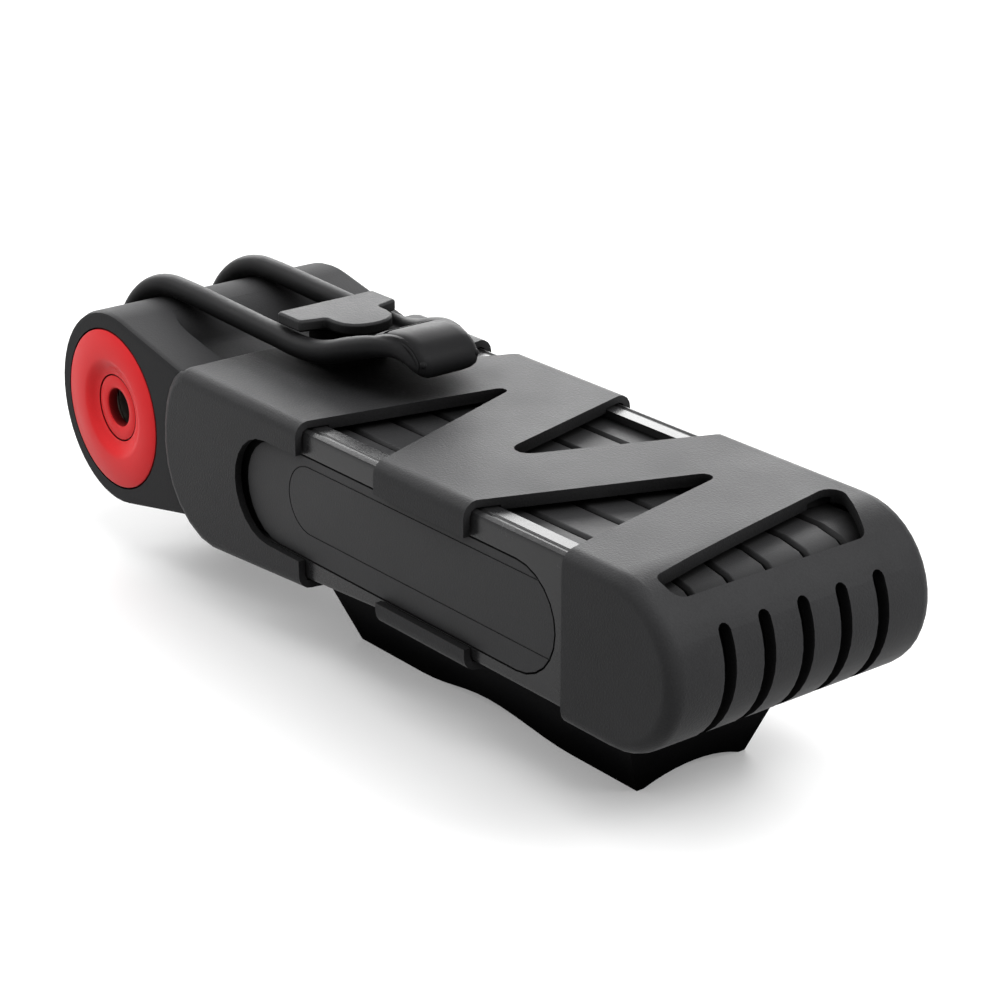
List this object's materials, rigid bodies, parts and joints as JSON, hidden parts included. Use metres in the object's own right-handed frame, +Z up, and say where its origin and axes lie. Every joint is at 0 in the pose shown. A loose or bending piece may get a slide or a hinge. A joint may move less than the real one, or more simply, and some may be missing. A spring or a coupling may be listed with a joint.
{
  "type": "folding bike lock",
  "caption": "Folding bike lock stored in a carrying case: barrel head with a keyed bolt, riveted jacketed links, zigzag shell, rubber strap and hook, mount bracket.",
  "frame": {"origin": "bottom centre of the bounding box: middle of the length, on the plane of the bracket's feet", "axes": "+X along the case from the lock head to the rounded end, -Y the key's side, +Z up from the bracket's feet"},
  "size_m": [0.1945, 0.0584, 0.0613],
  "materials": {
    "case_plastic": "moulded, fine soft-touch grain",
    "sleeve_plastic": "moulded, satin",
    "jacket_plastic": "moulded, fine grain",
    "head_plastic": "moulded, fine soft-touch grain",
    "bracket_plastic": "moulded, satin black",
    "strap_rubber": "moulded silicone, satin",
    "red_plastic": "moulded, satin red",
    "steel": "hardened, zinc plated",
    "cylinder_brass": "turned"
  },
  "bodies": {
    "case": {"case_shell": "case_plastic", "case_sleeve": "sleeve_plastic", "strap_hook": "case_plastic", "mount_bracket": "bracket_plastic", "bracket_screw_front": "steel", "bracket_screw_rear": "steel", "strap_anchor": "bracket_plastic", "strap_screw": "steel"},
    "strap": {"strap": "strap_rubber"},
    "lock": {"head_body": "head_plastic", "head_end_cap": "head_plastic", "key_escutcheon": "red_plastic", "keyhole_collar": "red_plastic", "core_sleeve": "steel", "link_plate_1": "steel", "link_plate_2": "steel", "link_plate_3": "steel", "link_plate_4": "steel", "link_plate_5": "steel", "link_plate_6": "steel", "link_jacket_1": "jacket_plastic", "link_jacket_2": "jacket_plastic", "link_jacket_3": "jacket_plastic", "link_jacket_4": "jacket_plastic", "link_jacket_5": "jacket_plastic", "link_jacket_6": "jacket_plastic", "side_panel_near": "jacket_plastic", "side_panel_far": "jacket_plastic", "rivet_right_1": "steel", "rivet_right_2": "steel", "rivet_right_3": "steel", "rivet_left_1": "steel", "rivet_left_2": "steel", "head_pivot_pin": "steel"},
    "key": {"key_drum": "cylinder_brass", "detainer_disc_1": "cylinder_brass", "detainer_disc_2": "cylinder_brass", "detainer_disc_3": "cylinder_brass", "detainer_disc_4": "cylinder_brass", "detainer_disc_5": "cylinder_brass", "detainer_disc_6": "cylinder_brass", "drive_cam": "steel"},
    "bolt": {"locking_bolt": "steel"}
  },
  "joints": [
    {"name": "lock_slide", "type": "slide", "parent": "case", "child": "lock", "axis": [-1, 0, 0], "range_m": [0, 0.21], "deforming": ["strap"]},
    {"name": "strap_swing", "type": "hinge", "parent": "case", "child": "strap", "pos_m": [-0.0725, 0, 0.00955], "axis": [0, -1, 0], "range_deg": [0, 45], "deforming": ["strap"]},
    {"name": "key_turn", "type": "hinge", "parent": "lock", "child": "key", "pos_m": [-0.0725, 0, 0.03205], "axis": [0, -1, 0], "range_deg": [0, 90]},
    {"name": "bolt_slide", "type": "slide", "parent": "lock", "child": "bolt", "axis": [-1, 0, 0], "range_m": [0, 0.0071]}
  ],
  "couplings": [
    {"joint": "bolt_slide", "follows": "key_turn", "m_per_rad": 0.0045}
  ]
}
